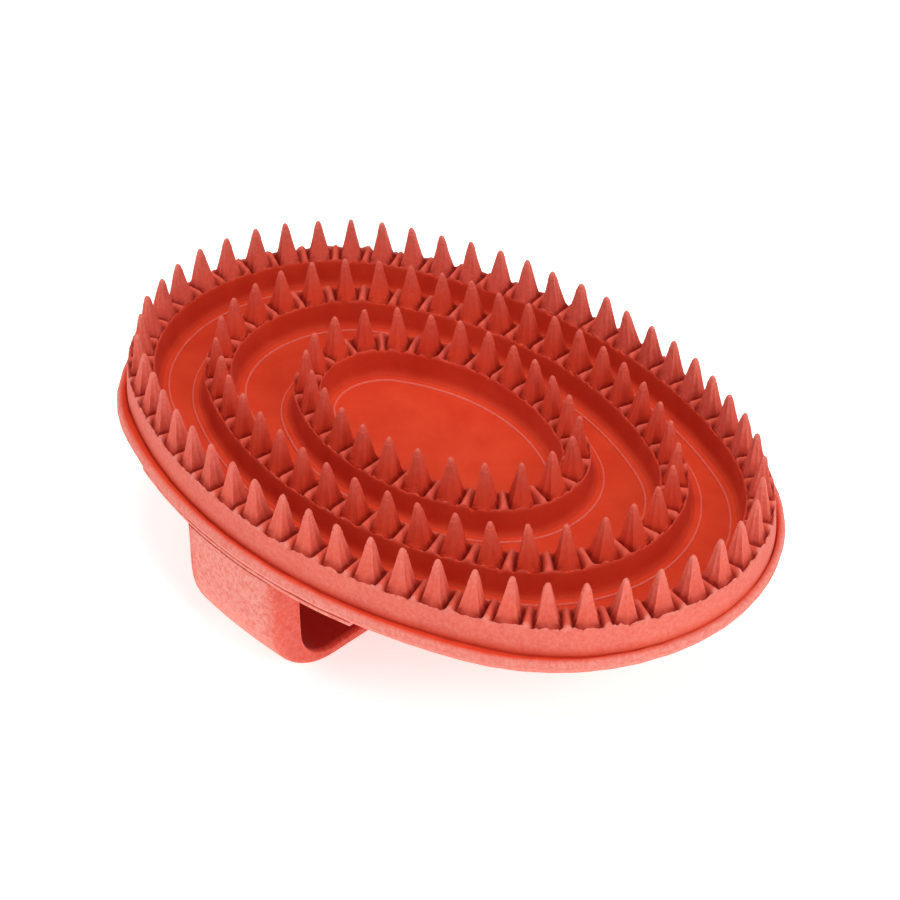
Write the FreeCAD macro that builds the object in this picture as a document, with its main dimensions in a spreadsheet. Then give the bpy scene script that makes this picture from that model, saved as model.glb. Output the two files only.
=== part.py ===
"""Oval rubber curry comb with three rings of teeth and a moulded hand strap.

The comb stands teeth up on its strap, as it is put down on a shelf. The origin is under the
middle of the oval, on the surface that the strap stands on. +X runs along the oval, +Z is up.
Every oval is drawn with four tangent arcs, so that a wall beside it is a parallel curve.
"""

import FreeCAD, Part
import Sketcher
import math
import os

from FreeCAD import Placement, Rotation, Vector

SIZES = {
    # the outline of the comb: the rolled lip round the back plate
    "lip_half_length": 80.4,
    "lip_half_width": 55.0,
    "lip_end_radius": 48.5,
    "lip_height": 3.0,
    "lip_roll": 1.0,
    "lip_groove": 0.4,
    # the lines that the teeth stand on, and how far past the +X end the first one is, in pitches
    "outer_half_length": 75.4,
    "outer_half_width": 49.2,
    "outer_end_radius": 41.0,
    "outer_teeth": 54,
    "outer_first_tooth": 0.12,
    "middle_half_length": 56.4,
    "middle_half_width": 35.6,
    "middle_end_radius": 28.6,
    "middle_teeth": 39,
    "middle_first_tooth": 0.72,
    "inner_half_length": 33.6,
    "inner_half_width": 21.2,
    "inner_end_radius": 16.5,
    "inner_teeth": 24,
    "inner_first_tooth": 0.82,
    # the back plate and the shallow floors sunk between the ridges
    "plate_thickness": 3.4,
    "floor_depth": 0.4,
    "floor_inset": 2.4,
    # the ridges, which carry the teeth
    "ridge_half_width": 3.0,
    "ridge_height": 6.3,
    "ridge_draft": 4.5,
    "ridge_edge": 0.5,
    # one tooth
    "tooth_width": 5.0,
    "tooth_tip": 1.7,
    "tooth_height": 9.0,
    "tooth_corner": 0.55,
    "tooth_crown": 0.6,
    # the strap that the hand goes through, and the pads that it grows out of
    "strap_centre": -7.5,
    "strap_width": 29.0,
    "strap_reach": 28.0,
    "strap_wall": 7.0,
    "strap_web": 2.6,
    "strap_inset": 0.4,
    "strap_outer_corner": 16.0,
    "strap_inner_corner": 9.0,
    "strap_edge": 1.8,
    "root_height": 1.0,
    "root_length": 68.0,
    "root_band": 9.0,
    "root_inset": 0.5,
}

RINGS = ("outer", "middle", "inner")
TOLERANCE = 0.01

doc = FreeCAD.newDocument("curry_comb")
sheet = doc.addObject("Spreadsheet::Sheet", "sizes")
for row, (alias, value) in enumerate(SIZES.items(), start=1):
    sheet.set(f"A{row}", alias.replace("_", " "))
    sheet.set(f"B{row}", str(value))
    sheet.setAlias(f"B{row}", alias)
doc.recompute()

nodes = []


def size(alias):
    """The value of one cell of the sheet."""
    return float(sheet.get(alias))


def keep(item, label):
    """Name a sub-part and put it on the list of those that are written."""
    item.Label = label
    nodes.append(item)
    return item


def new_body(label):
    body = doc.addObject("PartDesign::Body", label)
    return keep(body, label)


def origin_plane(body, role):
    return next(item for item in body.Origin.OriginFeatures if item.Role == role)


def new_sketch(body, name, role="XY_Plane", height=None):
    """A sketch on one of the body's planes, lifted by an expression of the sheet."""
    sketch = body.newObject("Sketcher::SketchObject", name)
    sketch.AttachmentSupport = [(origin_plane(body, role), "")]
    sketch.MapMode = "FlatFace"
    if height:
        sketch.setExpression("AttachmentOffset.Base.z", height)
    return sketch


def oval_numbers(ring, growth):
    """Half length, half width, end radius and side radius of a grown oval."""
    half_length = size(f"{ring}_half_length")
    half_width = size(f"{ring}_half_width")
    end_radius = size(f"{ring}_end_radius")
    span = half_length - end_radius
    side_radius = (span**2 - end_radius**2 + half_width**2) / (2 * (half_width - end_radius))
    return half_length + growth, half_width + growth, end_radius + growth, side_radius + growth


def side_radius_expression(ring):
    length = f"sizes.{ring}_half_length"
    width = f"sizes.{ring}_half_width"
    end = f"sizes.{ring}_end_radius"
    return f"(({length} - {end})^2 - {end}^2 + {width}^2) / (2 * ({width} - {end}))"


def add_oval(sketch, ring, growth=0.0, growth_expression="0"):
    """Four tangent arcs whose radii and centres are bound to the sheet."""
    half_length, half_width, end_radius, side_radius = oval_numbers(ring, growth)
    end_centre = half_length - end_radius
    side_centre = side_radius - half_width
    turn = math.atan2(side_centre, end_centre)
    arcs = (
        (Vector(end_centre, 0, 0), end_radius, -turn, turn),
        (Vector(0, -side_centre, 0), side_radius, turn, math.pi - turn),
        (Vector(-end_centre, 0, 0), end_radius, math.pi - turn, math.pi + turn),
        (Vector(0, side_centre, 0), side_radius, math.pi + turn, 2 * math.pi - turn),
    )
    first = sketch.GeometryCount
    for centre, radius, start, end in arcs:
        circle = Part.Circle(centre, Vector(0, 0, 1), radius)
        sketch.addGeometry(Part.ArcOfCircle(circle, start, end), False)
    right, top, left, bottom = range(first, first + 4)
    for one, other in ((right, top), (top, left), (left, bottom), (bottom, right)):
        sketch.addConstraint(Sketcher.Constraint("Tangent", one, 2, other, 1))
    for arc in (right, left):
        sketch.addConstraint(Sketcher.Constraint("PointOnObject", arc, 3, -1))
    sketch.addConstraint(Sketcher.Constraint("PointOnObject", top, 3, -2))
    sketch.addConstraint(Sketcher.Constraint("Equal", right, left))
    sketch.addConstraint(Sketcher.Constraint("Equal", top, bottom))
    bind(sketch, Sketcher.Constraint("Radius", right, end_radius),
         f"sizes.{ring}_end_radius + {growth_expression}")
    bind(sketch, Sketcher.Constraint("Radius", top, side_radius),
         f"{side_radius_expression(ring)} + {growth_expression}")
    bind(sketch, Sketcher.Constraint("DistanceX", -1, 1, right, 3, end_centre),
         f"sizes.{ring}_half_length - sizes.{ring}_end_radius")


def bind(sketch, constraint, expression):
    """Add a driving dimension whose value comes from the sheet."""
    index = sketch.addConstraint(constraint)
    sketch.setExpression(f"Constraints[{index}]", expression)


def add_rectangle(sketch, low, high, expressions):
    """A rectangle with its four sides placed by expressions: left, bottom, right, top."""
    corners = (
        Vector(low[0], low[1], 0),
        Vector(high[0], low[1], 0),
        Vector(high[0], high[1], 0),
        Vector(low[0], high[1], 0),
    )
    first = sketch.GeometryCount
    for start, end in zip(corners, corners[1:] + corners[:1]):
        sketch.addGeometry(Part.LineSegment(start, end), False)
    bottom, right, top, left = range(first, first + 4)
    for one, other in ((bottom, right), (right, top), (top, left), (left, bottom)):
        sketch.addConstraint(Sketcher.Constraint("Coincident", one, 2, other, 1))
    for line in (bottom, top):
        sketch.addConstraint(Sketcher.Constraint("Horizontal", line))
    for line in (right, left):
        sketch.addConstraint(Sketcher.Constraint("Vertical", line))
    places = (
        ("DistanceX", bottom, low[0]),
        ("DistanceY", bottom, low[1]),
        ("DistanceX", top, high[0]),
        ("DistanceY", top, high[1]),
    )
    for (kind, line, value), expression in zip(places, expressions):
        bind(sketch, Sketcher.Constraint(kind, -1, 1, line, 1, value), expression)


def add_rounded_opening(sketch, low, high, radius, expressions):
    """A rectangle as above, with its two lower corners rounded."""
    left, bottom = low
    right, top = high
    lines = (
        (Vector(left, top, 0), Vector(left, bottom + radius, 0)),
        (Vector(left + radius, bottom, 0), Vector(right - radius, bottom, 0)),
        (Vector(right, bottom + radius, 0), Vector(right, top, 0)),
        (Vector(right, top, 0), Vector(left, top, 0)),
    )
    for start, end in lines:
        sketch.addGeometry(Part.LineSegment(start, end), False)
    for x, start in ((left + radius, math.pi), (right - radius, 1.5 * math.pi)):
        circle = Part.Circle(Vector(x, bottom + radius, 0), Vector(0, 0, 1), radius)
        sketch.addGeometry(Part.ArcOfCircle(circle, start, start + math.pi / 2), False)
    left_wall, floor, right_wall, roof, left_corner, right_corner = range(6)
    joins = ((left_wall, left_corner), (left_corner, floor), (floor, right_corner),
             (right_corner, right_wall))
    for one, other in joins:
        sketch.addConstraint(Sketcher.Constraint("Tangent", one, 2, other, 1))
    for one, other in ((right_wall, roof), (roof, left_wall)):
        sketch.addConstraint(Sketcher.Constraint("Coincident", one, 2, other, 1))
    for wall in (left_wall, right_wall):
        sketch.addConstraint(Sketcher.Constraint("Vertical", wall))
    for level in (floor, roof):
        sketch.addConstraint(Sketcher.Constraint("Horizontal", level))
    sketch.addConstraint(Sketcher.Constraint("Equal", left_corner, right_corner))
    places = (
        ("DistanceX", left_wall, left),
        ("DistanceY", floor, bottom),
        ("DistanceX", right_wall, right),
        ("DistanceY", roof, top),
    )
    for (kind, line, value), expression in zip(places, expressions):
        bind(sketch, Sketcher.Constraint(kind, -1, 1, line, 1, value), expression)
    bind(sketch, Sketcher.Constraint("Radius", left_corner, radius), expressions[-1])


def grow(body, kind, sketch, name, length, reverse=False):
    """A pad or a pocket of one sketch, which must change the body's volume."""
    doc.recompute()
    before = body.Shape.Volume if body.Tip else 0.0
    feature = body.newObject(f"PartDesign::{kind}", name)
    feature.Profile = sketch
    feature.Reversed = reverse
    feature.setExpression("Length", length)
    doc.recompute()
    change = body.Shape.Volume - before
    wrong = change <= 0 if kind == "Pad" else change >= 0
    if wrong:
        raise RuntimeError(f"{name} doesn't change the body as it should")
    return feature


def round_edges(body, name, radius, chosen, kind="Fillet"):
    """Round or chamfer the edges of the body's last feature that a test chooses."""
    base = body.Tip
    edges = [f"Edge{n}" for n, edge in enumerate(base.Shape.Edges, start=1) if chosen(edge)]
    if not edges:
        raise RuntimeError(f"{name} has no edge to work on")
    feature = body.newObject(f"PartDesign::{kind}", name)
    feature.Base = (base, edges)
    feature.setExpression("Radius" if kind == "Fillet" else "Size", radius)
    doc.recompute()
    return feature


def is_level(edge, height):
    """True for an edge that lies at one height."""
    box = edge.BoundBox
    return abs(box.ZMin - height) < TOLERANCE and abs(box.ZMax - height) < TOLERANCE


def on_oval(edge, ring, growth):
    """True for an arc whose radius is one of a grown oval's two radii."""
    if not hasattr(edge.Curve, "Radius"):
        return False
    radii = oval_numbers(ring, growth)[2:]
    return min(abs(edge.Curve.Radius - radius) for radius in radii) < TOLERANCE


# heights of the levels, from the surface that the comb stands on
UNDERSIDE = "sizes.strap_reach + sizes.root_height"
PLATE_TOP = f"{UNDERSIDE} + sizes.plate_thickness"
underside = size("strap_reach") + size("root_height")
plate_top = underside + size("plate_thickness")
land = plate_top + size("ridge_height")

# how far a ridge's wall leans out on its way down, and so how wide its foot is
WALL_RUN = "sizes.ridge_height * tan(sizes.ridge_draft * 1 deg)"
FOOT = f"(sizes.ridge_half_width + {WALL_RUN})"
wall_run = size("ridge_height") * math.tan(math.radians(size("ridge_draft")))
foot = size("ridge_half_width") + wall_run


def make_back_plate():
    """The flat plate, with a shallow sunk floor inside and between the ridges."""
    body = new_body("back_plate")
    outline = new_sketch(body, "plate_outline", height=UNDERSIDE)
    add_oval(outline, "outer", foot, FOOT)
    grow(body, "Pad", outline, "plate", "sizes.plate_thickness")
    step = foot + size("floor_inset")
    step_expression = f"({FOOT} + sizes.floor_inset)"
    centre = new_sketch(body, "centre_floor_outline", height=PLATE_TOP)
    add_oval(centre, "inner", -step, f"-{step_expression}")
    grow(body, "Pocket", centre, "centre_floor", "sizes.floor_depth")
    for inside, outside in (("inner", "middle"), ("middle", "outer")):
        channel = new_sketch(body, f"{outside}_floor_outline", height=PLATE_TOP)
        add_oval(channel, outside, -step, f"-{step_expression}")
        add_oval(channel, inside, step, step_expression)
        grow(body, "Pocket", channel, f"{outside}_floor", "sizes.floor_depth")


def make_rim_lip():
    """The rolled lip round the plate, with the parting groove where it meets the plate."""
    body = new_body("rim_lip")
    outline = new_sketch(body, "lip_outline", height=UNDERSIDE)
    add_oval(outline, "lip")
    add_oval(outline, "outer", foot, FOOT)
    grow(body, "Pad", outline, "lip", "sizes.lip_height")
    top = underside + size("lip_height")
    round_edges(body, "parting_groove", "sizes.lip_groove",
                lambda edge: is_level(edge, top) and on_oval(edge, "outer", foot), kind="Chamfer")
    round_edges(body, "lip_roll", "sizes.lip_roll",
                lambda edge: edge.BoundBox.ZLength < TOLERANCE and on_oval(edge, "lip", 0.0))


def make_ridge(ring):
    """One oval ridge with drafted walls and softened upper edges."""
    body = new_body(f"{ring}_ridge")
    outside = new_sketch(body, f"{ring}_ridge_outside", height=PLATE_TOP)
    add_oval(outside, ring, foot, FOOT)
    pad = grow(body, "Pad", outside, f"{ring}_ridge_pad", "sizes.ridge_height")
    pad.setExpression("TaperAngle", "-sizes.ridge_draft")
    inside = new_sketch(body, f"{ring}_ridge_inside", height=PLATE_TOP)
    add_oval(inside, ring, -foot, f"-{FOOT}")
    pocket = grow(body, "Pocket", inside, f"{ring}_ridge_pocket", "sizes.ridge_height", reverse=True)
    pocket.setExpression("TaperAngle", "sizes.ridge_draft")
    doc.recompute()
    round_edges(body, f"{ring}_ridge_edges", "sizes.ridge_edge", lambda edge: is_level(edge, land))


def make_tooth():
    """The master tooth: a drafted pyramid with chamfered corners and a blunt crown."""
    body = doc.addObject("PartDesign::Body", "tooth_master")
    base = new_sketch(body, "tooth_base")
    half = size("tooth_width") / 2
    edge = "sizes.tooth_width / 2"
    add_rectangle(base, (-half, -half), (half, half), (f"-{edge}", f"-{edge}", edge, edge))
    pad = grow(body, "Pad", base, "tooth_pad", "sizes.tooth_height")
    pad.setExpression(
        "TaperAngle",
        "-atan((sizes.tooth_width - sizes.tooth_tip) / 2 / sizes.tooth_height)",
    )
    doc.recompute()
    height = size("tooth_height")

    def slanted(edge):
        return edge.BoundBox.ZLength > 0.9 * height

    round_edges(body, "tooth_corners", "sizes.tooth_corner", slanted, kind="Chamfer")
    round_edges(body, "tooth_crown_edges", "sizes.tooth_crown", lambda edge: is_level(edge, height))
    return body


def point_on_oval(ring, distance):
    """Point and outward direction at a distance along the oval from its +X end."""
    half_length, half_width, end_radius, side_radius = oval_numbers(ring, 0.0)
    end_centre = half_length - end_radius
    side_centre = side_radius - half_width
    turn = math.atan2(side_centre, end_centre)
    quarter_end = end_radius * turn
    quarter_side = side_radius * (math.pi / 2 - turn)
    quarter = quarter_end + quarter_side
    along = distance % (4 * quarter)
    sector = int(along // quarter)
    local = along - sector * quarter
    if sector % 2:
        local = quarter - local
    if local < quarter_end:
        angle = local / end_radius
        x = end_centre + end_radius * math.cos(angle)
        y = end_radius * math.sin(angle)
    else:
        angle = turn + (local - quarter_end) / side_radius
        x = side_radius * math.cos(angle)
        y = side_radius * math.sin(angle) - side_centre
    facing = (math.cos(angle), math.sin(angle))
    flip_x = -1 if sector in (1, 2) else 1
    flip_y = -1 if sector in (2, 3) else 1
    return flip_x * x, flip_y * y, math.atan2(flip_y * facing[1], flip_x * facing[0])


def oval_length(ring):
    half_length, half_width, end_radius, side_radius = oval_numbers(ring, 0.0)
    turn = math.atan2(side_radius - half_width, half_length - end_radius)
    return 4 * (end_radius * turn + side_radius * (math.pi / 2 - turn))


def make_teeth(ring, tooth):
    """All the teeth of one ridge, evenly spaced along its oval."""
    count = int(size(f"{ring}_teeth"))
    pitch = oval_length(ring) / count
    first = size(f"{ring}_first_tooth")
    copies = []
    for number in range(count):
        x, y, facing = point_on_oval(ring, (number + first) * pitch)
        copy = tooth.Shape.copy()
        copy.Placement = Placement(Vector(x, y, 0), Rotation(Vector(0, 0, 1), math.degrees(facing)))
        copies.append(copy)
    group = doc.addObject("Part::Feature", f"{ring}_tooth_row")
    group.Shape = Part.makeCompound(copies)
    group.Placement = Placement(Vector(0, 0, land), Rotation())
    keep(group, f"{ring}_tooth_row")


def make_strap_roots():
    """Two low pads under the long edges of the plate, which the strap grows out of."""
    half = size("root_length") / 2
    centre = size("strap_centre")
    left = "sizes.strap_centre - sizes.root_length / 2"
    right = "sizes.strap_centre + sizes.root_length / 2"
    band_in = size("lip_half_width") - size("root_band")
    beyond = size("lip_half_width") + size("root_inset")
    for name, side in (("near_strap_root", -1), ("far_strap_root", 1)):
        body = new_body(name)
        block = new_sketch(body, f"{name}_block", height="sizes.strap_reach")
        low, high = sorted((side * band_in, side * beyond))
        inner = f"{side} * (sizes.lip_half_width - sizes.root_band)"
        outer = f"{side} * (sizes.lip_half_width + sizes.root_inset)"
        bottom, top = (outer, inner) if side < 0 else (inner, outer)
        add_rectangle(block, (centre - half, low), (centre + half, high), (left, bottom, right, top))
        grow(body, "Pad", block, f"{name}_pad", "sizes.root_height")
        trim_to_oval(body, name, "root_inset")


def trim_to_oval(body, name, inset):
    """Cut away all of a body that stands outside the lip's oval."""
    outside = new_sketch(body, f"{name}_outside")
    reach = 2 * size("lip_half_length")
    side = "2 * sizes.lip_half_length"
    add_rectangle(outside, (-reach, -reach), (reach, reach), (f"-{side}", f"-{side}", side, side))
    add_oval(outside, "lip", -size(inset), f"-sizes.{inset}")
    grow(body, "Pocket", outside, f"{name}_trim", UNDERSIDE, reverse=True)


def make_hand_strap():
    """A flat-bottomed loop across the comb, thick at its two walls and thin underneath."""
    body = new_body("hand_strap")
    half = size("strap_width") / 2
    centre = size("strap_centre")
    beyond = size("lip_half_width")
    left = "sizes.strap_centre - sizes.strap_width / 2"
    right = "sizes.strap_centre + sizes.strap_width / 2"
    wide = "sizes.lip_half_width"
    block = new_sketch(body, "strap_block")
    add_rectangle(block, (centre - half, -beyond), (centre + half, beyond),
                  (left, f"-{wide}", right, wide))
    grow(body, "Pad", block, "strap_pad", "sizes.strap_reach")
    trim_to_oval(body, "hand_strap", "strap_inset")
    round_edges(body, "strap_outer_corners", "sizes.strap_outer_corner",
                lambda edge: is_level(edge, 0.0) and edge.BoundBox.XLength > half)

    inner = beyond - size("strap_inset") - size("strap_wall")
    inner_expression = "(sizes.lip_half_width - sizes.strap_inset - sizes.strap_wall)"
    opening = new_sketch(body, "strap_opening", role="YZ_Plane", height=left)
    add_rounded_opening(
        opening,
        (-inner, size("strap_web")),
        (inner, size("strap_reach")),
        size("strap_inner_corner"),
        (f"-{inner_expression}", "sizes.strap_web", inner_expression, "sizes.strap_reach",
         "sizes.strap_inner_corner"),
    )
    grow(body, "Pocket", opening, "strap_hole", "sizes.strap_width", reverse=True)

    def round_the_outside(edge):
        box = edge.BoundBox
        beside = box.XLength < TOLERANCE and abs(abs(box.XMin - centre) - half) < TOLERANCE
        below_hole = box.ZMin < size("strap_web") - TOLERANCE
        outside_hole = max(-box.YMin, box.YMax) > inner + TOLERANCE
        return beside and (below_hole or outside_hole) and not is_level(edge, size("strap_reach"))

    round_edges(body, "strap_edges", "sizes.strap_edge", round_the_outside)


def check_document():
    """Stop before anything is written if an object failed or a shape is no good."""
    doc.recompute()
    for item in doc.Objects:
        if "Invalid" in item.State or "Error" in item.State:
            raise RuntimeError(f"{item.Name}: {item.State}")
    for item in nodes:
        if item.Shape.isNull() or not item.Shape.isValid() or not item.Shape.Solids:
            raise RuntimeError(f"{item.Label} has no valid solid")


def write_parts():
    os.makedirs("parts", exist_ok=True)
    for item in nodes:
        item.Shape.exportStep(f"parts/{item.Label}.step")
        box = item.Shape.BoundBox
        print(item.Label, len(item.Shape.Solids), "solids", round(item.Shape.Volume), "mm3",
              [round(v, 2) for v in (box.XMin, box.YMin, box.ZMin, box.XMax, box.YMax, box.ZMax)])


make_back_plate()
make_rim_lip()
for ring in RINGS:
    make_ridge(ring)
tooth = make_tooth()
for ring in RINGS:
    make_teeth(ring, tooth)
make_strap_roots()
make_hand_strap()
check_document()
write_parts()
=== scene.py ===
"""The looks of an oval rubber curry comb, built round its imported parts.

The comb is one coral red rubber moulding: a back plate with a rolled lip, three oval ridges that
carry rows of blunt teeth, and a strap under the plate for the hand. It stands teeth up on the strap.
"""

import math
import random

import bmesh
import bpy
from bpy.props import FloatProperty, FloatVectorProperty, IntProperty, PointerProperty
from mathutils import Matrix, Vector, noise


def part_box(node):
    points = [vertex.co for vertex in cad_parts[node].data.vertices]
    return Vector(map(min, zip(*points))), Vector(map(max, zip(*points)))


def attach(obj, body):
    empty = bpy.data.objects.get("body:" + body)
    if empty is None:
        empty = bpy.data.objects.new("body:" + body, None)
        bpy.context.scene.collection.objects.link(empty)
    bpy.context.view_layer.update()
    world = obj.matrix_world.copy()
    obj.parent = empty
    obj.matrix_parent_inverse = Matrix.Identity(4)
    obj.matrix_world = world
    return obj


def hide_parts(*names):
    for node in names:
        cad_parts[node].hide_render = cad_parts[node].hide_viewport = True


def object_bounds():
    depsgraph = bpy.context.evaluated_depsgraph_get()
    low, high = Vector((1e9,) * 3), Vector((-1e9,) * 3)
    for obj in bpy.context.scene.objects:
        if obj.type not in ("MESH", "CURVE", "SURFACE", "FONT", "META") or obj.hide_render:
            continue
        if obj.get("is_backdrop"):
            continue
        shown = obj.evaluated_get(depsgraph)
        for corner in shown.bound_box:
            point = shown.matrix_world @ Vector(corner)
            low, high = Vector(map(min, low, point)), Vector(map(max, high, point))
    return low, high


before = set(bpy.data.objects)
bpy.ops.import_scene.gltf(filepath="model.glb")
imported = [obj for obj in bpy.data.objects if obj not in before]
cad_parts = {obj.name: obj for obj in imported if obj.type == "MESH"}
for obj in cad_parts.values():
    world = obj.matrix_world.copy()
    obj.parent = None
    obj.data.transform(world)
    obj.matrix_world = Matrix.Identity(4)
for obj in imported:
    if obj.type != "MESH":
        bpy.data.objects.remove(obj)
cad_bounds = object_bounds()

bl_info = {
    "name": "Curry Comb",
    "version": (1, 0, 0),
    "blender": (4, 5, 0),
    "location": "View3D > Sidebar > Comb",
    "description": "Builds a moulded rubber curry comb round its packed parts",
    "category": "Object",
}

MM = 0.001
RINGS = ("outer", "middle", "inner")

# end radius of each oval, teeth on it, and how far past the +X end the first tooth is, in pitches
END_RADIUS = {"lip": 48.5 * MM, "outer": 41.0 * MM, "middle": 28.6 * MM, "inner": 16.5 * MM}
TEETH = {"outer": 54, "middle": 39, "inner": 24}
FIRST_TOOTH = {"outer": 0.12, "middle": 0.72, "inner": 0.82}

# half the width of a ridge's land, and how much its moulded walls lean out on the way down
RIDGE_HALF = 3.0 * MM
RIDGE_DRAFT = math.tan(math.radians(4.5))

# two points closer than SAME are one point, and NEAR is the slack when a height or width is compared
SAME = 1e-6
NEAR = 1e-5

# levels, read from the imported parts
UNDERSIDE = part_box("back_plate")[0].z
PLATE_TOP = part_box("outer_ridge")[0].z
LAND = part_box("outer_ridge")[1].z
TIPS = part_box("outer_tooth_row")[1].z
LIP_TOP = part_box("rim_lip")[1].z
RIDGE_HEIGHT = LAND - PLATE_TOP
FOOT = RIDGE_HALF + RIDGE_HEIGHT * RIDGE_DRAFT


def linear(code):
    """An sRGB hex colour as linear red, green and blue."""
    values = [int(code[n:n + 2], 16) / 255 for n in (1, 3, 5)]
    return tuple(v / 12.92 if v <= 0.04045 else ((v + 0.055) / 1.055) ** 2.4 for v in values)


def soft_step(value):
    """A smooth rise from 0 to 1 while the value does the same, and level before and after."""
    value = min(1.0, max(0.0, value))
    return value * value * (3 - 2 * value)


def per_mm(size):
    """Scale of a pattern whose features are about this many millimetres across."""
    return 1.0 / (size * MM)


# the ovals ------------------------------------------------------------------------------------

class Oval:
    """An oval of four tangent arcs, so that every wall beside it is a parallel curve."""

    def __init__(self, half_length, half_width, end_radius):
        span = half_length - end_radius
        self.end_radius = end_radius
        self.side_radius = (span**2 - end_radius**2 + half_width**2) / (2 * (half_width - end_radius))
        self.end_centre = span
        self.side_centre = self.side_radius - half_width
        self.turn = math.atan2(self.side_centre, self.end_centre)
        self.end_run = end_radius * self.turn
        self.quarter = self.end_run + self.side_radius * (math.pi / 2 - self.turn)
        self.length = 4 * self.quarter

    def place(self, share):
        """Point and outward direction at a share of the way round, from the +X end."""
        sector, local = divmod(share % 1.0 * self.length, self.quarter)
        if sector % 2:
            local = self.quarter - local
        if local < self.end_run:
            angle = local / self.end_radius
            centre, radius = Vector((self.end_centre, 0.0)), self.end_radius
        else:
            angle = self.turn + (local - self.end_run) / self.side_radius
            centre, radius = Vector((0.0, -self.side_centre)), self.side_radius
        facing = Vector((math.cos(angle), math.sin(angle)))
        flip = Vector((-1 if sector in (1, 2) else 1, -1 if sector in (2, 3) else 1))
        return (centre + radius * facing) * flip, facing * flip

    def locate(self, spot):
        """Share of the way round, and distance outside the oval, of a point."""
        x, y = abs(spot.x), abs(spot.y)
        angle = math.atan2(y, x - self.end_centre)
        if angle < self.turn:
            local = self.end_radius * angle
            growth = math.hypot(x - self.end_centre, y) - self.end_radius
        else:
            angle = math.atan2(y + self.side_centre, x)
            local = self.end_run + self.side_radius * (angle - self.turn)
            growth = math.hypot(x, y + self.side_centre) - self.side_radius
        if spot.x < 0:
            local = 2 * self.quarter - local
        if spot.y < 0:
            local = self.length - local
        return local / self.length, growth


def ring_oval(ring):
    """The line that a ring's teeth stand on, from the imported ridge."""
    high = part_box(f"{ring}_ridge")[1]
    return Oval(high.x - FOOT, high.y - FOOT, END_RADIUS[ring])


OVALS = {ring: ring_oval(ring) for ring in RINGS}
OVALS["lip"] = Oval(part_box("rim_lip")[1].x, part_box("rim_lip")[1].y, END_RADIUS["lip"])


def spin_section(bm, ring, section, step, closed=False):
    """Spin a section of (growth, height) points round the four arcs of an oval.

    One quarter is spun, in steps of about the given length, and then mirrored twice.
    """
    oval = OVALS[ring]
    start = oval.end_centre + oval.end_radius
    verts = [bm.verts.new((start + growth, 0.0, height)) for growth, height in section]
    edges = [bm.edges.new(pair) for pair in zip(verts, verts[1:])]
    if closed:
        edges.append(bm.edges.new((verts[-1], verts[0])))
    before = set(bm.verts) - set(verts)
    arcs = (
        ((oval.end_centre, 0.0, 0.0), oval.turn, oval.end_run),
        ((0.0, -oval.side_centre, 0.0), math.pi / 2 - oval.turn, oval.quarter - oval.end_run),
    )
    geom = verts + edges
    for centre, angle, run in arcs:
        geom = bmesh.ops.spin(bm, geom=geom, cent=centre, axis=(0, 0, 1), angle=angle,
                              steps=max(3, round(run / step)))["geom_last"]
    for axis in ("X", "Y"):
        made = set(bm.verts) - before
        geom = [item for item in [*bm.verts, *bm.edges, *bm.faces]
                if (item in made if isinstance(item, bmesh.types.BMVert)
                    else all(vert in made for vert in item.verts))]
        bmesh.ops.mirror(bm, geom=geom, axis=axis, merge_dist=SAME)
    bmesh.ops.remove_doubles(bm, verts=list(set(bm.verts) - before), dist=SAME)


def from_tooth(ring, share):
    """Distance along a ring from the middle of the nearest tooth."""
    phase = share * TEETH[ring] - FIRST_TOOTH[ring]
    return abs(phase - round(phase)) * OVALS[ring].length / TEETH[ring]


def rims(bm, ring, growth, height):
    """Open edges at one distance from an oval and one height."""
    def on_rim(vert):
        distance = OVALS[ring].locate(vert.co)[1]
        return abs(vert.co.z - height) < SAME and abs(distance - growth) < 2 * NEAR
    return [edge for edge in bm.edges if edge.is_boundary and all(map(on_rim, edge.verts))]


def round_off(bm, geom, radius, segments, affect="EDGES"):
    """Round edges, or the corners of an outline, to a radius."""
    bmesh.ops.bevel(bm, geom=geom, offset=radius, offset_type="OFFSET", segments=segments,
                    profile=0.5, affect=affect, material=-1)


def finish_piece(bm, name, material, nodes, sharp=50.0):
    """Make a smooth shaded piece that rides on the comb and stands for its CAD nodes."""
    mesh = bpy.data.meshes.new(name)
    bm.to_mesh(mesh)
    bm.free()
    mesh.shade_smooth()
    mesh.set_sharp_from_angle(angle=math.radians(sharp))
    mesh.materials.append(material)
    piece = bpy.data.objects.new(name, mesh)
    bpy.context.scene.collection.objects.link(piece)
    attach(piece, "root")
    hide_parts(*nodes)
    return piece


def add_wear(bm, name, amount):
    """Store, at each vertex, how much pale cover of bloom and painted light, or how much painted shade,
    lies on the rubber.
    """
    layer = bm.verts.layers.float.new(name)
    for vert in bm.verts:
        vert[layer] = amount(vert.co)


# materials ------------------------------------------------------------------------------------

def add_node(tree, kind, values=None, links=None, **properties):
    """Add a node with its properties, its input values and its incoming links."""
    node = tree.nodes.new(kind)
    for name, value in properties.items():
        setattr(node, name, value)
    for key, value in (values or {}).items():
        node.inputs[key].default_value = value
    for key, socket in (links or {}).items():
        tree.links.new(socket, node.inputs[key])
    return node


def pattern(tree, place, size, detail, roughness=0.5):
    """A noise whose features are about this many millimetres across."""
    values = {"Scale": per_mm(size), "Detail": detail, "Roughness": roughness}
    return add_node(tree, "ShaderNodeTexNoise", values, {"Vector": place}).outputs["Fac"]


def remap(tree, socket, source, target):
    """Carry a value from one range to another, and hold it at the ends."""
    values = {"From Min": source[0], "From Max": source[1], "To Min": target[0], "To Max": target[1]}
    return add_node(tree, "ShaderNodeMapRange", values, {"Value": socket}).outputs["Result"]


def cover(tree, under, colour, amount):
    """Lay a colour over what is under it, as thickly as the amount says."""
    return add_node(tree, "ShaderNodeMix", {7: (*colour, 1.0)}, {0: amount, 6: under},
                    data_type="RGBA").outputs[2]


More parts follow.
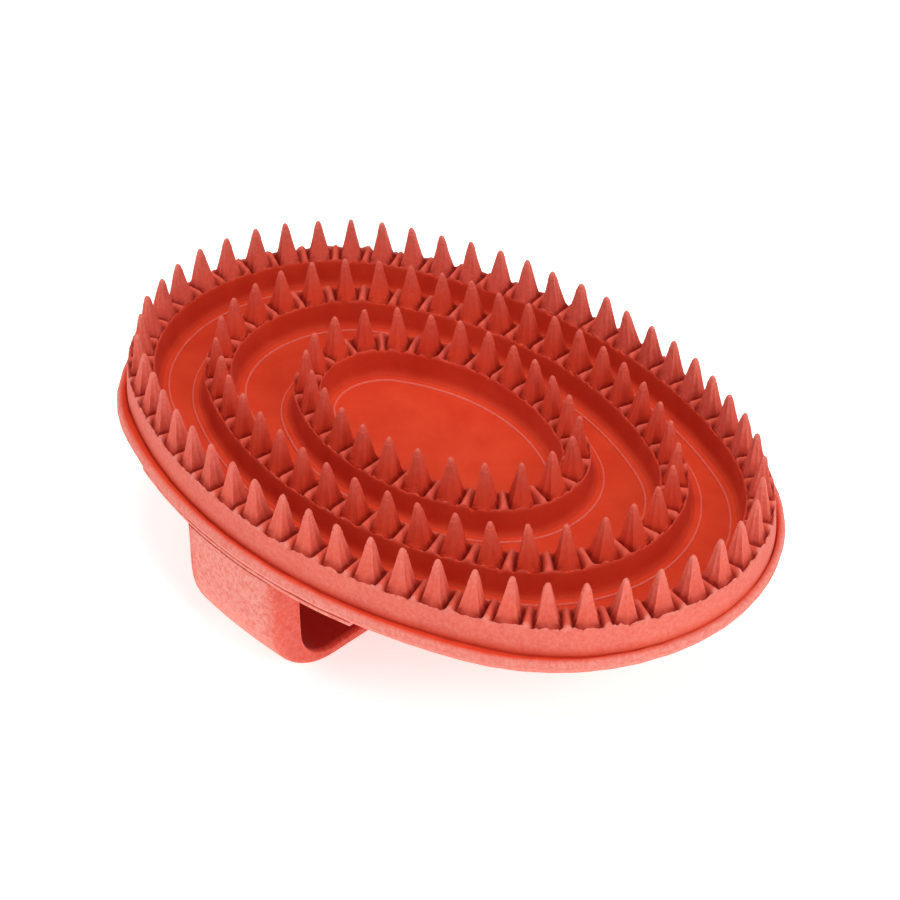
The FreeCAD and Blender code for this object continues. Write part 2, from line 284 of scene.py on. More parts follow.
def moulded_rubber(name, speckle, relief):
    """Natural rubber pressed in a sand blasted mould, with the pale bloom of chalk and dried soap.

    It gives the eye a matt, finely pitted skin, coral pink where a pale cover lies on the outside and
    the edges, partly bloom and partly painted light, its own orange red, mottled deeper, on the floors
    where no pale cover lies, and dark red where painted shade is laid in creases and recesses. speckle
    is how broken the pale cover is, and relief how strong the pitting.
    """
    if name in bpy.data.materials:
        return bpy.data.materials[name]
    colours = bpy.context.scene.comb_colours
    material = bpy.data.materials.new(name)
    material.use_nodes = True
    tree = material.node_tree
    tree.nodes.clear()
    place = add_node(tree, "ShaderNodeTexCoord").outputs["Object"]

    # the mould's blasted grain is about 0.1 mm; it is drawn at 0.5 mm, the finest that shows
    grain = pattern(tree, place, 0.5, 2.0)
    speck = pattern(tree, place, 0.9, 4.0, roughness=0.75)
    cloud = pattern(tree, place, 9.0, 3.0)

    # a pale cover, partly the rubber's bloom and partly painted light, and painted shade for creases
    # and recesses
    bloom_and_light_amount = add_node(tree, "ShaderNodeAttribute", attribute_name="bloom_and_painted_light").outputs["Fac"]
    painted_shade = add_node(tree, "ShaderNodeAttribute", attribute_name="painted_shade").outputs["Fac"]
    mean = 0.92
    broken = remap(tree, speck, (0.36, 0.64), (mean - speckle, mean + speckle))
    bloom_and_painted_light = add_node(tree, "ShaderNodeMath", {}, {0: bloom_and_light_amount, 1: broken}, operation="MULTIPLY",
                     use_clamp=True).outputs["Value"]
    mottle = remap(tree, cloud, (0.35, 0.7), (0.0, 0.6))
    body = add_node(tree, "ShaderNodeMix", {6: (*colours.rubber, 1.0), 7: (*colours.deep, 1.0)},
                    {0: mottle}, data_type="RGBA").outputs[2]
    # the pale cover of bloom and painted light is laid first
    bloomed_and_lit = cover(tree, body, colours.bloom_and_painted_light, bloom_and_painted_light)
    # painted shade goes over the rest
    colour = cover(tree, bloomed_and_lit, colours.painted_shade, painted_shade)
    rough = remap(tree, speck, (0.3, 0.7), (0.55, 0.75))
    pits = add_node(tree, "ShaderNodeBump", {"Strength": 0.4, "Distance": 0.08 * MM},
                    {"Height": grain}).outputs["Normal"]
    skin = add_node(tree, "ShaderNodeBump", {"Strength": relief, "Distance": 0.17 * MM},
                    {"Height": speck, "Normal": pits}).outputs["Normal"]
    shader = add_node(
        tree, "ShaderNodeBsdfPrincipled",
        {"IOR": 1.52, "Specular IOR Level": 0.07, "Sheen Weight": 0.03, "Sheen Roughness": 0.5,
         "Sheen Tint": (1.0, 0.86, 0.82, 1.0)},
        {"Base Color": colour, "Roughness": rough, "Normal": skin})
    add_node(tree, "ShaderNodeOutputMaterial", {}, {"Surface": shader.outputs["BSDF"]})
    return material


def clean_rubber():
    """Rubber of the toothed side, where the pale cover of bloom and painted light is thin and even."""
    return moulded_rubber("moulded_natural_rubber", speckle=0.3, relief=0.6)


def dust_and_light_rubber():
    """Rubber of the strap, where the pale cover of bloom and painted light lies thick and broken."""
    return moulded_rubber("dust_and_light_moulded_rubber", speckle=0.48, relief=0.85)


# what a user may change -----------------------------------------------------------------------

class CombSizes(bpy.types.PropertyGroup):
    """Sizes of the comb's moulded detail."""

    tooth_depth: FloatProperty(
        name="Tooth depth", description="Size of a tooth's foot across its ridge", unit="LENGTH",
        default=4.5 * MM)
    tooth_width: FloatProperty(
        name="Tooth width", description="Size of a tooth's foot along its ridge", unit="LENGTH",
        default=4.9 * MM)
    tooth_variation: FloatProperty(
        name="Tooth variation", description="How much the teeth differ from each other",
        default=1.0, min=0.0, max=2.0)
    crease: FloatProperty(
        name="Crease", description="Depth of the crease round a tooth's foot", unit="LENGTH",
        default=1.5 * MM)
    web: FloatProperty(
        name="Web", description="Height of the lump between two teeth", unit="LENGTH",
        default=0.5 * MM)
    flash: FloatProperty(
        name="Flash", description="Raggedness of a ridge's trimmed edge", unit="LENGTH",
        default=0.75 * MM)
    segment: FloatProperty(
        name="Segment", description="Length of one mesh segment along a ridge", unit="LENGTH",
        default=0.38 * MM)
    floor_depth: FloatProperty(
        name="Floor depth", description="How far the floors are sunk below the plate", unit="LENGTH",
        default=0.4 * MM)
    floor_inset: FloatProperty(
        name="Floor inset", description="From a ridge's foot to the edge of the sunk floor",
        unit="LENGTH", default=2.4 * MM)
    seed: IntProperty(name="Seed", description="Seed of the differences between teeth", default=7)


class CombColours(bpy.types.PropertyGroup):
    """Colours of the rubber, and of the painted light and shade laid on it."""

    rubber: FloatVectorProperty(
        name="Rubber", description="Clean, sheltered rubber", subtype="COLOR",
        size=3, min=0.0, max=1.0, default=linear("#E04829"))
    deep: FloatVectorProperty(
        name="Deep rubber", description="Darker tone that mottles the rubber", subtype="COLOR",
        size=3, min=0.0, max=1.0, default=linear("#CE331A"))
    # pale colour laid on as bloom and, on outward faces and edges, as painted light
    bloom_and_painted_light: FloatVectorProperty(
        name="Bloom", description="Rubber under its pale dusty bloom", subtype="COLOR",
        size=3, min=0.0, max=1.0, default=linear("#EE9A8E"))
    # painted shade: dark red laid where shade falls, in creases, low in the channels, at the teeth's
    # feet and inside the strap's opening
    painted_shade: FloatVectorProperty(
        name="Grime", description="Rubber darkened by dirt in its creases", subtype="COLOR",
        size=3, min=0.0, max=1.0, default=linear("#8E1204"))


# ridges ---------------------------------------------------------------------------------------

def wall(height):
    """Distance from a ridge's line to its drafted wall, at a height above the plate."""
    return RIDGE_HALF + (RIDGE_HEIGHT - height) * RIDGE_DRAFT


def ridge_section(ring):
    """Closed section of a ridge: up from its inner toe, over the land, down and back below."""
    rise = [(wall(level * MM), level * MM) for level in (0.9, 1.8, 2.8, 3.8, 4.7, 5.3, 5.75)]
    rise += [(RIDGE_HALF - 0.02 * MM, RIDGE_HEIGHT - 0.25 * MM),
             (RIDGE_HALF - 0.2 * MM, RIDGE_HEIGHT - 0.04 * MM)]
    toe = wall(0.0)
    cove = [(toe + 1.0 * MM, 0.0), (toe + 0.5 * MM, 0.1 * MM), (toe + 0.17 * MM, 0.4 * MM)]
    outer = ([(toe, 0.0)] if ring == "outer" else cove) + rise
    inner = cove + rise
    land = [(0.42 * MM * n, RIDGE_HEIGHT) for n in range(-6, 7)]
    below = -0.3 * MM
    section = [(-inner[0][0], below)] + [(-growth, height) for growth, height in inner] + land
    section += outer[::-1] + [(outer[0][0], below)]
    return [(growth, PLATE_TOP + height) for growth, height in section]


def shape_land(bm, ring, sizes):
    """Sink a crease round each tooth's foot, raise the webs between them, fray the edges, and paint
    shade low on the walls and in the creases.
    """
    oval = OVALS[ring]
    half_pitch = oval.length / TEETH[ring] / 2
    fade = 0.5 * MM
    toe_height = 0.6 * MM
    web_length = 0.8 * MM
    # painted shade: darker low on the walls in the channels, none on the outer ridge's outside
    painted_shade = bm.verts.layers.float.new("painted_shade")
    for vert in bm.verts:
        height = vert.co.z - PLATE_TOP
        share, growth = oval.locate(vert.co)
        top = soft_step((height - RIDGE_HEIGHT + 1.3 * MM) / (1.1 * MM))
        vert[painted_shade] = 0.0 if ring == "outer" and growth > 0 else 0.28 * (1 - top)
        if height > toe_height:
            _, facing = oval.place(share)
            swell = 0.09 * MM * noise.noise(vert.co * per_mm(5.0))
            swell += 0.10 * MM * top * noise.noise(vert.co * per_mm(1.2))
            vert.co.xy += swell * facing * (1 if growth > 0 else -1)
        if top <= 0:
            continue
        across = from_tooth(ring, share)
        outside = max(across - sizes.tooth_width / 2, abs(growth) - sizes.tooth_depth / 2, 0.0)
        sunk = math.exp(-((outside / fade) ** 2))
        side = soft_step((across - 1.6 * MM) / (0.7 * MM))
        # painted shade in the crease round each tooth's foot, most on its sides between the teeth
        vert[painted_shade] = max(vert[painted_shade], top * sunk * (0.25 + 0.6 * side))
        web = sizes.web * math.exp(-(((across - half_pitch) / web_length) ** 2))
        edge = soft_step((abs(growth) - 2.3 * MM) / (0.7 * MM))
        fray = noise.noise(vert.co * per_mm(1.6)) + 0.6 * noise.noise(vert.co * per_mm(0.7))
        roll = 0.15 * MM * noise.noise(vert.co * per_mm(3.0))
        rise = web * (1 - 0.4 * edge) + roll + sizes.flash * edge * fray
        vert.co.z += top * (rise - sizes.crease * sunk)


def ridge_bloom_and_painted_light(ring):
    """Pale cover of a ridge, partly bloom and partly painted light: on the comb's outside and along the
    top edges.
    """
    def amount(spot):
        growth = OVALS[ring].locate(spot)[1]
        height = spot.z - PLATE_TOP
        outside = soft_step((growth - 2.0 * MM) / (0.8 * MM)) if ring == "outer" else 0.0
        top = soft_step((height - RIDGE_HEIGHT + 0.9 * MM) / (0.8 * MM))
        low = soft_step(1 - height / (1.6 * MM))
        return 0.02 + 0.42 * outside * (1 - 0.7 * low) + 0.2 * top
    return amount


class COMB_OT_ridges(bpy.types.Operator):
    """Three oval ridges that carry the teeth"""

    bl_idname = "comb.ridges"
    bl_label = "Ridges"

    def execute(self, context):
        sizes = context.scene.comb_sizes
        for ring in RINGS:
            bm = bmesh.new()
            spin_section(bm, ring, ridge_section(ring), sizes.segment, closed=True)
            bmesh.ops.recalc_face_normals(bm, faces=bm.faces)
            # shape_land lays the painted shade; the pale cover of bloom and painted light follows
            shape_land(bm, ring, sizes)
            add_wear(bm, "bloom_and_painted_light", ridge_bloom_and_painted_light(ring))
            finish_piece(bm, f"{ring}_ridge_moulding", clean_rubber(),
                         [f"{ring}_ridge"])
        return {"FINISHED"}


# plate and lip --------------------------------------------------------------------------------

class COMB_OT_back_plate(bpy.types.Operator):
    """Back plate with a sunk floor inside and between the ridges"""

    bl_idname = "comb.back_plate"
    bl_label = "Back plate"

    def execute(self, context):
        sizes = context.scene.comb_sizes
        sunk = PLATE_TOP - sizes.floor_depth
        inset = FOOT + sizes.floor_inset
        soft = 0.15 * MM
        climb = [(inset + 2 * soft, sunk), (inset + soft, sunk + 0.2 * soft),
                 (inset, PLATE_TOP - 0.5 * soft), (inset - soft, PLATE_TOP),
                 (inset - 2.5 * soft, PLATE_TOP), (FOOT - 0.5 * MM, PLATE_TOP)]
        inward = [(-growth, height) for growth, height in climb]
        step = 1.0 * MM
        bm = bmesh.new()
        for ring in ("inner", "middle"):
            spin_section(bm, ring, inward + climb[::-1], step)
        spin_section(bm, "outer", inward + [(FOOT - 0.3 * MM, PLATE_TOP), (FOOT, PLATE_TOP - 0.2 * MM),
                                            (FOOT, UNDERSIDE), (0.0, UNDERSIDE)], step)
        reach = inset + 2 * soft
        for ring, outer_ring in (("inner", "middle"), ("middle", "outer")):
            gap = rims(bm, ring, reach, sunk) + rims(bm, outer_ring, -reach, sunk)
            bmesh.ops.bridge_loops(bm, edges=gap)
        bmesh.ops.holes_fill(bm, edges=rims(bm, "inner", -reach, sunk))
        bmesh.ops.holes_fill(bm, edges=rims(bm, "outer", 0.0, UNDERSIDE))
        bmesh.ops.recalc_face_normals(bm, faces=bm.faces)

        def bloom_and_painted_light(spot):
            """Pale cover of the plate: bloom and painted light all over its underside, and a painted
            highlight in a line along the floor's step.
            """
            if spot.z < UNDERSIDE + 0.5 * MM:
                return 0.5
            beside = [abs(abs(OVALS[ring].locate(spot)[1]) - inset + 0.5 * soft) for ring in RINGS]
            return 0.4 if min(beside) < 0.6 * soft else 0.0

        add_wear(bm, "bloom_and_painted_light", bloom_and_painted_light)
        finish_piece(bm, "back_plate_moulding", clean_rubber(), ["back_plate"],
                     sharp=30.0)
        return {"FINISHED"}


class COMB_OT_rim_lip(bpy.types.Operator):
    """Rolled lip round the plate, with the fine groove that parts them"""

    bl_idname = "comb.rim_lip"
    bl_label = "Rim lip"

    def execute(self, context):
        top = LIP_TOP
        low = UNDERSIDE
        step = 0.7 * MM
        rolled = [(-1.4, 0.0), (-0.9, 0.08), (-0.45, 0.32), (-0.22, 0.72), (-0.15, 1.15),
                  (-0.1, 1.36)]
        outside = [(growth * MM, low + height * MM) for growth, height in rolled]
        outside.append((0.0, (low + top) / 2))
        outside += [(growth * MM, top - height * MM) for growth, height in rolled[::-1]]
        inside = [(FOOT - 0.15 * MM, low), (FOOT - 0.15 * MM, top - 0.9 * MM),
                  (FOOT + 0.1 * MM, top - 0.75 * MM), (FOOT + 0.28 * MM, top - 0.35 * MM),
                  (FOOT + 0.5 * MM, top - 0.03 * MM)]
        bm = bmesh.new()
        spin_section(bm, "lip", outside, step)
        spin_section(bm, "outer", inside, step)
        for end in (0, -1):
            gap = rims(bm, "lip", *outside[end]) + rims(bm, "outer", *inside[end])
            bmesh.ops.bridge_loops(bm, edges=gap)
        bmesh.ops.recalc_face_normals(bm, faces=bm.faces)
        lip = OVALS["lip"]
        for vert in bm.verts:
            share, growth = lip.locate(vert.co)
            _, facing = lip.place(share)
            vert.co.xy -= abs(0.25 * MM * noise.noise(vert.co * per_mm(5.0))) * facing
            if vert.co.z > top - 1.5 * MM and growth > -3.0 * MM:
                vert.co.z += 0.14 * MM * noise.noise(vert.co * per_mm(3.5))

        def bloom_and_painted_light(spot):
            """Pale cover of the lip, partly bloom and partly painted light: on its rolled outside, and
            none towards the groove.
            """
            return 0.72 * soft_step((lip.locate(spot)[1] + 1.5 * MM) / (1.0 * MM))

        add_wear(bm, "bloom_and_painted_light", bloom_and_painted_light)
        finish_piece(bm, "rim_lip_moulding", clean_rubber(), ["rim_lip"], sharp=60.0)
        return {"FINISHED"}


# teeth ----------------------------------------------------------------------------------------

# levels of a tooth: height above the land, in ninths of the tooth, and share of the foot's size
TOOTH_LEVELS = ((-1.7, 1.2), (-0.9, 1.13), (-0.3, 1.0), (0.4, 0.9), (1.4, 0.8), (2.8, 0.68),
                (4.4, 0.55), (6.0, 0.43), (7.0, 0.365), (7.25, 0.37), (7.5, 0.32), (8.2, 0.27),
                (8.65, 0.2), (8.9, 0.12), (8.98, 0.05))
TOOTH_NINTH = (TIPS - LAND) / 9.0


def tooth_shape(bm, sizes):
    """One tooth at the origin: a square with worn corners that narrows to a blunt round tip."""
    verts = bmesh.ops.create_circle(bm, cap_ends=True, segments=16, radius=1.0)["verts"]
    worn = 1.86
    flute = 0.84
    for number, vert in enumerate(verts):
        x, y = abs(vert.co.x), abs(vert.co.y)
        vert.co /= max(x, y, (x + y) / worn)
        if number % 2:
            vert.co *= flute
    half = Vector((sizes.tooth_depth / 2, sizes.tooth_width / 2, 1.0))
    bmesh.ops.scale(bm, vec=half, verts=verts)
    below, scale = TOOTH_LEVELS[0]
    bmesh.ops.scale(bm, vec=(scale, scale, 1.0), verts=verts)
    bmesh.ops.translate(bm, vec=(0, 0, below * TOOTH_NINTH), verts=verts)
    face = next(iter(bm.faces))
    for level, new_scale in TOOTH_LEVELS[1:]:
        made = bmesh.ops.extrude_face_region(bm, geom=[face], use_keep_orig=False)["geom"]
        verts = [item for item in made if isinstance(item, bmesh.types.BMVert)]
        face = next(item for item in made if isinstance(item, bmesh.types.BMFace))
        ratio = new_scale / scale
        bmesh.ops.scale(bm, vec=(ratio, ratio, 1.0), verts=verts)
        bmesh.ops.translate(bm, vec=(0, 0, (level - below) * TOOTH_NINTH), verts=verts)
        roundness = soft_step((level - 4.5) / 4.5)
        radius = sum(vert.co.to_2d().length for vert in verts) / len(verts)
        for vert in verts:
            flat = vert.co.to_2d()
            vert.co.xy = flat.lerp(flat.normalized() * radius, 0.22 * roundness)
        below, scale = level, new_scale
    bmesh.ops.recalc_face_normals(bm, faces=bm.faces)


def tooth_bloom_and_painted_light(ring):
    """Pale cover of a row: little at a tooth's foot, more at its worn tip, and painted light all over
    the outer row, whose faces look out to the bright surroundings.
    """
    # painted light: the outer row is made paler all over
    row_bloom_and_light = 0.24 if ring == "outer" else 0.04

    def amount(spot):
        height = (spot.z - LAND) / (TIPS - LAND)
        return row_bloom_and_light + 0.2 * soft_step(height) + 0.12 * soft_step((height - 0.8) / 0.2)
    return amount


def tooth_painted_shade(ring):
    """Painted shade at a tooth's foot, mostly on the two sides that face its neighbours."""
    def amount(spot):
        foot = soft_step(1 - (spot.z - LAND + 0.3 * MM) / (1.1 * MM))
        side = soft_step((from_tooth(ring, OVALS[ring].locate(spot)[0]) - 1.3 * MM) / (0.8 * MM))
        return foot * (0.2 + 0.6 * side)
    return amount


def tooth_place(ring, number, rng, vary):
    """Where a tooth stands, with a little lean, twist and difference of size of its own."""
    spot, facing = OVALS[ring].place((number + FIRST_TOOTH[ring]) / TEETH[ring])
    tilt = math.radians(1.5)
    lean = Matrix.Rotation(vary * rng.gauss(0, tilt), 4, "X")
    tip = Matrix.Rotation(vary * rng.gauss(0, tilt), 4, "Y")
    turn = Matrix.Rotation(math.atan2(facing.y, facing.x) + vary * rng.gauss(0, 0.05), 4, "Z")
    across, along, worn = [vary * rng.gauss(0, 0.02) for _ in range(3)]
    grow = Matrix.Diagonal((1 + across, 1 + along, 1 - abs(worn), 1))
    return Matrix.Translation((*spot, LAND)) @ turn @ lean @ tip @ grow


class COMB_OT_teeth(bpy.types.Operator):
    """Rows of blunt teeth on the three ridges"""

    bl_idname = "comb.teeth"
    bl_label = "Teeth"

    def execute(self, context):
        sizes = context.scene.comb_sizes
        master = bpy.data.meshes.new("tooth")
        bm = bmesh.new()
        tooth_shape(bm, sizes)
        bm.to_mesh(master)
        bm.free()
        rng = random.Random(sizes.seed)
        vary = sizes.tooth_variation
        for ring in RINGS:
            bm = bmesh.new()
            for number in range(TEETH[ring]):
                count = len(bm.verts)
                bm.from_mesh(master)
                bm.verts.ensure_lookup_table()
                verts = bm.verts[count:]
                bmesh.ops.transform(bm, matrix=tooth_place(ring, number, rng, vary), verts=verts)
                for vert in verts:
                    high = soft_step((vert.co.z - LAND) / (TIPS - LAND))
                    wander = (0.05 + 0.07 * high) * MM * vary
                    vert.co += wander * noise.noise_vector(vert.co * per_mm(2.2))
                    vert.co.z = min(vert.co.z, TIPS)
            # pale cover of bloom and painted light, then painted shade at the feet
            add_wear(bm, "bloom_and_painted_light", tooth_bloom_and_painted_light(ring))
            add_wear(bm, "painted_shade", tooth_painted_shade(ring))
            finish_piece(bm, f"{ring}_teeth", clean_rubber(),
                         [f"{ring}_tooth_row"], sharp=32.0)
        bpy.data.meshes.remove(master)
        return {"FINISHED"}


# strap ----------------------------------------------------------------------------------------

# thickness at the sides and under the hand, and radii of the corners and of the outer edges
STRAP_WALL = 7.0 * MM
STRAP_WEB = 2.6 * MM
STRAP_CORNER = 16.0 * MM
OPENING_CORNER = 9.0 * MM
STRAP_EDGE = 1.8 * MM
OPENING_EDGE = 0.3 * MM
ROOT_EDGE = 0.35 * MM

# the strap's edges are where two faces meet at more than this angle, in radians
CORNER_ANGLE = 1.2

ALONG = Vector((1, 0, 0))
UP = Vector((0, 0, 1))


def rounded_outline(bm, x, reach, bottom, top, radius):
    """An upright U across the comb whose two lower corners are round; gives its edges."""
    before = set(bm.edges)
    middle = (bottom + top) / 2
    matrix = Matrix.Translation((x, 0, middle)) @ Matrix.Rotation(math.pi / 2, 4, "Y")
    verts = bmesh.ops.create_grid(bm, x_segments=1, y_segments=1, size=1.0, matrix=matrix)["verts"]
    bmesh.ops.scale(bm, vec=(1, reach, (top - bottom) / 2), verts=verts,
                    space=Matrix.Translation((0, 0, -middle)))
    lower = [vert for vert in verts if vert.co.z < middle]
    round_off(bm, lower, radius, 14, affect="VERTICES")
    made = [edge for edge in bm.edges if edge not in before]
    faces = {face for edge in made for face in edge.link_faces}
    bmesh.ops.delete(bm, geom=list(faces), context="FACES_ONLY")
    lid = [edge for edge in made if all(vert.co.z > top - SAME for vert in edge.verts)]
    made = [edge for edge in made if edge not in lid]
    bmesh.ops.delete(bm, geom=lid, context="EDGES")
    return made


def follow_plate(bm, reach):
    """Draw the outer walls in to the curve of the lip, and let the moulded faces wander a little."""
    lip = OVALS["lip"]
    widest = lip.side_radius - lip.side_centre
    for vert in bm.verts:
        edge = math.sqrt(lip.side_radius**2 - vert.co.x**2) - lip.side_centre
        weight = soft_step((abs(vert.co.y) - reach + 14 * MM) / (10 * MM))
        vert.co.y -= math.copysign(weight * (widest - edge), vert.co.y)
        if vert.co.z > 1.0 * MM:
            vert.co += 0.12 * MM * noise.noise_vector(vert.co * per_mm(7.0))


def slice_across(bm, axis, low, high, count):
    """Divide a piece into slabs of equal thickness, so that its faces can bend."""
    for number in range(1, count):
        cut = axis * (low + (high - low) * number / count)
        bmesh.ops.bisect_plane(bm, geom=[*bm.verts, *bm.edges, *bm.faces], dist=SAME,
                               plane_co=cut, plane_no=axis)


class COMB_OT_hand_strap(bpy.types.Operator):
    """Hand strap under the plate: a flat band bent to a loop, open on both sides"""

    bl_idname = "comb.hand_strap"
    bl_label = "Hand strap"

    def execute(self, context):
        low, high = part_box("hand_strap")
        inner = high.y - STRAP_WALL
        web = low.z + STRAP_WEB
        bm = bmesh.new()
        outline = rounded_outline(bm, low.x, high.y, low.z, high.z, STRAP_CORNER)
        opening = rounded_outline(bm, low.x, inner, web, high.z, OPENING_CORNER)
        bmesh.ops.bridge_loops(bm, edges=outline + opening)
        made = bmesh.ops.extrude_face_region(bm, geom=bm.faces[:], use_keep_orig=True)["geom"]
        verts = [item for item in made if isinstance(item, bmesh.types.BMVert)]
        bmesh.ops.translate(bm, vec=(high.x - low.x, 0, 0), verts=verts)
        bmesh.ops.recalc_face_normals(bm, faces=bm.faces)

        def beside_opening(edge):
            return all(abs(vert.co.y) < inner + NEAR and vert.co.z > web - NEAR for vert in edge.verts)

        def on_a_side(edge):
            ends = [vert.co for vert in edge.verts]
            upright = abs(ends[0].x - ends[1].x) < SAME
            under_plate = all(end.z > high.z - NEAR for end in ends)
            return upright and edge.calc_face_angle(0) > CORNER_ANGLE and not under_plate

        sides = [edge for edge in bm.edges if on_a_side(edge)]
        inside = [edge for edge in sides if beside_opening(edge)]
        outside = [edge for edge in sides if not beside_opening(edge)]
        for edges, radius, segments in ((outside, STRAP_EDGE, 5), (inside, OPENING_EDGE, 2)):
            round_off(bm, [edge for edge in edges if edge.is_valid], radius, segments)
        slice_across(bm, ALONG, low.x, high.x, 15)
        slice_across(bm, UP, low.z, high.z, 14)
        bmesh.ops.recalc_face_normals(bm, faces=bm.faces)
        follow_plate(bm, high.y)

        def opening_depth(spot):
            """How far inside the opening's rounded outline a point is."""
            across = max(abs(spot.y) - inner + OPENING_CORNER, 0.0)
            down = max(web + OPENING_CORNER - spot.z, 0.0)
            return OPENING_CORNER - math.hypot(across, down)

        def bloom_and_painted_light(spot):
            """Pale cover of the strap, partly bloom and partly painted light: most on its outer faces,
            away from their edges.
            """
            outside = soft_step((-opening_depth(spot) - 0.5 * MM) / (2.0 * MM))
            to_side = min(spot.x - low.x, high.x - spot.x)
            return 0.42 + 0.44 * outside * soft_step(to_side / (4.0 * MM))

        def painted_shade(spot):
            """Painted shade of the strap: all over the inside of its opening, and a trace on its edges.
            """
            to_side = min(spot.x - low.x, high.x - spot.x)
            if opening_depth(spot) > -0.5 * MM:
                return 0.9 if to_side > 0.6 * MM else 0.0
            return 0.12 * soft_step(1 - to_side / (1.5 * MM))

        add_wear(bm, "bloom_and_painted_light", bloom_and_painted_light)
        add_wear(bm, "painted_shade", painted_shade)
        finish_piece(bm, "hand_strap_moulding", dust_and_light_rubber(), ["hand_strap"],
                     sharp=40.0)
        return {"FINISHED"}


class COMB_OT_strap_roots(bpy.types.Operator):
    """Two low pads under the plate's long edges, which the strap grows out of"""

    bl_idname = "comb.strap_roots"
    bl_label = "Strap roots"

    def execute(self, context):
        for name in ("near_strap_root", "far_strap_root"):
            low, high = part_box(name)
            middle = Matrix.Translation((low + high) / 2)
            bm = bmesh.new()
            verts = bmesh.ops.create_cube(bm, size=1.0, matrix=middle)["verts"]
            bmesh.ops.scale(bm, vec=high - low, verts=verts, space=middle.inverted())
            lower = [edge for edge in bm.edges if all(vert.co.z < high.z - SAME for vert in edge.verts)]
            round_off(bm, lower, ROOT_EDGE, 2)
            slice_across(bm, ALONG, low.x, high.x, 40)
            bmesh.ops.recalc_face_normals(bm, faces=bm.faces)
            follow_plate(bm, max(abs(low.y), abs(high.y)))
            # an even pale cover, partly bloom and partly painted light
            add_wear(bm, "bloom_and_painted_light", lambda spot: 0.75)
            finish_piece(bm, f"{name}_moulding", dust_and_light_rubber(), [name])
        return {"FINISHED"}


# stage ----------------------------------------------------------------------------------------

# the camera: its direction and distance from its aim, and its focal length in millimetres
VIEW_AZIMUTH = math.radians(44.604)
VIEW_ELEVATION = math.radians(36.786)
VIEW_DISTANCE = 527.08 * MM
VIEW_TARGET = Vector((3.468, -0.382, 32.0)) * MM
VIEW_LENS = 99.22
SENSOR_WIDTH = 36.0
CLIP_RANGE = (0.01, 20.0)
WHITE = (1.0, 1.0, 1.0, 1.0)

# each soft box: name, place, size, power in watts and colour
LIGHTS = (("overhead", (0.0, 0.0, 0.85), 0.35, 2.7, (1.0, 0.99, 0.97)),
          ("right", (0.6, -0.1, 0.42), 0.28, 1.5, (1.0, 1.0, 1.0)),
          ("left", (-0.5, -0.55, 0.4), 0.3, 0.95, (1.0, 1.0, 1.0)))

# light of the world and of the paper, half the paper's width, and its gap under the comb
WORLD_STRENGTH = 0.42
PAPER_GLOW = 0.55
PAPER_HALF = 4.0
PAPER_DROP = 0.1 * MM


def add_light(name, spot, size, power, colour):
    """A square soft box aimed at the comb."""
    light = bpy.data.lights.new(name, "AREA")
    light.size = size
    light.energy = power
    light.color = colour
    lamp = bpy.data.objects.new(name, light)
    lamp.location = spot
    lamp.rotation_mode = "QUATERNION"
    lamp.rotation_quaternion = (Vector(spot) - VIEW_TARGET).to_track_quat("Z", "Y")
    bpy.context.scene.collection.objects.link(lamp)


def matt_white_paper():
    """Seamless studio paper: plain, even and bright."""
    paper = bpy.data.materials.new("matt_white_paper")
    paper.use_nodes = True
    shader = paper.node_tree.nodes["Principled BSDF"]
    values = {"Base Color": WHITE, "Roughness": 1.0, "Specular IOR Level": 0.0,
              "Emission Color": WHITE, "Emission Strength": PAPER_GLOW}
    for name, value in values.items():
        shader.inputs[name].default_value = value
    return paper


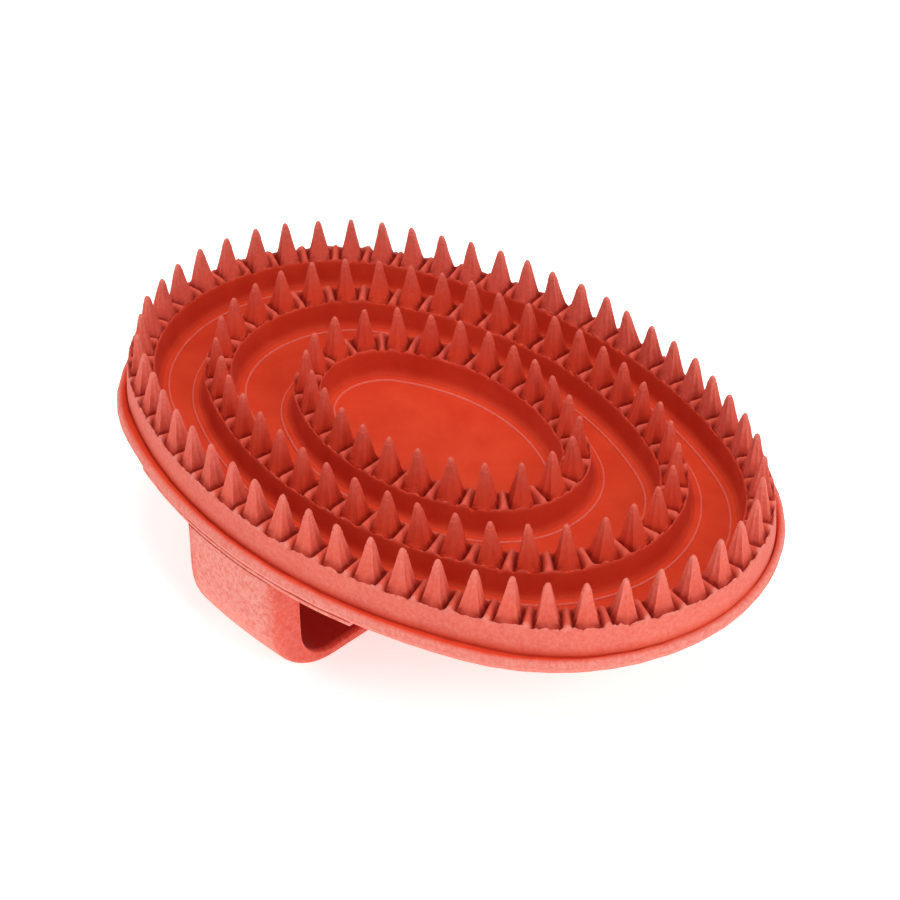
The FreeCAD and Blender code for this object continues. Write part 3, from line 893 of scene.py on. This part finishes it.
class COMB_OT_stage(bpy.types.Operator):
    """Camera, soft studio lights and a plain white floor"""

    bl_idname = "comb.stage"
    bl_label = "Stage"

    def execute(self, context):
        scene = context.scene
        scene.view_settings.view_transform = "Standard"
        camera = bpy.data.objects.new("camera", bpy.data.cameras.new("camera"))
        camera.data.lens = VIEW_LENS
        camera.data.sensor_width = SENSOR_WIDTH
        camera.data.clip_start, camera.data.clip_end = CLIP_RANGE
        back = Vector((math.sin(VIEW_AZIMUTH) * math.cos(VIEW_ELEVATION),
                       -math.cos(VIEW_AZIMUTH) * math.cos(VIEW_ELEVATION), math.sin(VIEW_ELEVATION)))
        camera.location = VIEW_TARGET + VIEW_DISTANCE * back
        camera.rotation_mode = "QUATERNION"
        camera.rotation_quaternion = back.to_track_quat("Z", "Y")
        scene.collection.objects.link(camera)
        scene.camera = camera

        world = bpy.data.worlds.new("studio")
        world.use_nodes = True
        backdrop = world.node_tree.nodes["Background"]
        backdrop.inputs["Color"].default_value = WHITE
        backdrop.inputs["Strength"].default_value = WORLD_STRENGTH
        scene.world = world
        for name, spot, size, power, colour in LIGHTS:
            add_light(name, spot, size, power, colour)

        bm = bmesh.new()
        bmesh.ops.create_grid(bm, x_segments=2, y_segments=2, size=PAPER_HALF,
                              matrix=Matrix.Translation((0, 0, -PAPER_DROP)))
        mesh = bpy.data.meshes.new("floor")
        bm.to_mesh(mesh)
        bm.free()
        mesh.materials.append(matt_white_paper())
        floor = bpy.data.objects.new("floor", mesh)
        scene.collection.objects.link(floor)
        floor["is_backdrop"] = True
        return {"FINISHED"}


# panel and running ----------------------------------------------------------------------------

OPERATORS = (COMB_OT_stage, COMB_OT_back_plate, COMB_OT_rim_lip, COMB_OT_ridges, COMB_OT_teeth,
             COMB_OT_hand_strap, COMB_OT_strap_roots)


class COMB_PT_panel(bpy.types.Panel):
    """Lists the pieces of the comb and what may be changed"""

    bl_idname = "COMB_PT_panel"
    bl_label = "Curry Comb"
    bl_space_type = "VIEW_3D"
    bl_region_type = "UI"
    bl_category = "Comb"

    def draw(self, context):
        layout = self.layout
        for group in (context.scene.comb_sizes, context.scene.comb_colours):
            for name in group.__annotations__:
                layout.prop(group, name)
        for operator in OPERATORS:
            layout.operator(operator.bl_idname)


CLASSES = (CombSizes, CombColours, *OPERATORS, COMB_PT_panel)


def register():
    for cls in CLASSES:
        bpy.utils.register_class(cls)
    bpy.types.Scene.comb_sizes = PointerProperty(type=CombSizes)
    bpy.types.Scene.comb_colours = PointerProperty(type=CombColours)


def unregister():
    del bpy.types.Scene.comb_colours
    del bpy.types.Scene.comb_sizes
    for cls in reversed(CLASSES):
        bpy.utils.unregister_class(cls)


def main():
    register()
    bpy.ops.comb.stage()
    bpy.ops.comb.back_plate()
    bpy.ops.comb.rim_lip()
    bpy.ops.comb.ridges()
    bpy.ops.comb.teeth()
    bpy.ops.comb.hand_strap()
    bpy.ops.comb.strap_roots()
    bpy.context.view_layer.update()
    boxes = {"cad": cad_bounds, "visual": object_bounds()}
    {name: [list(corner) for corner in box] for name, box in boxes.items()}


if __name__ == "__main__":
    main()
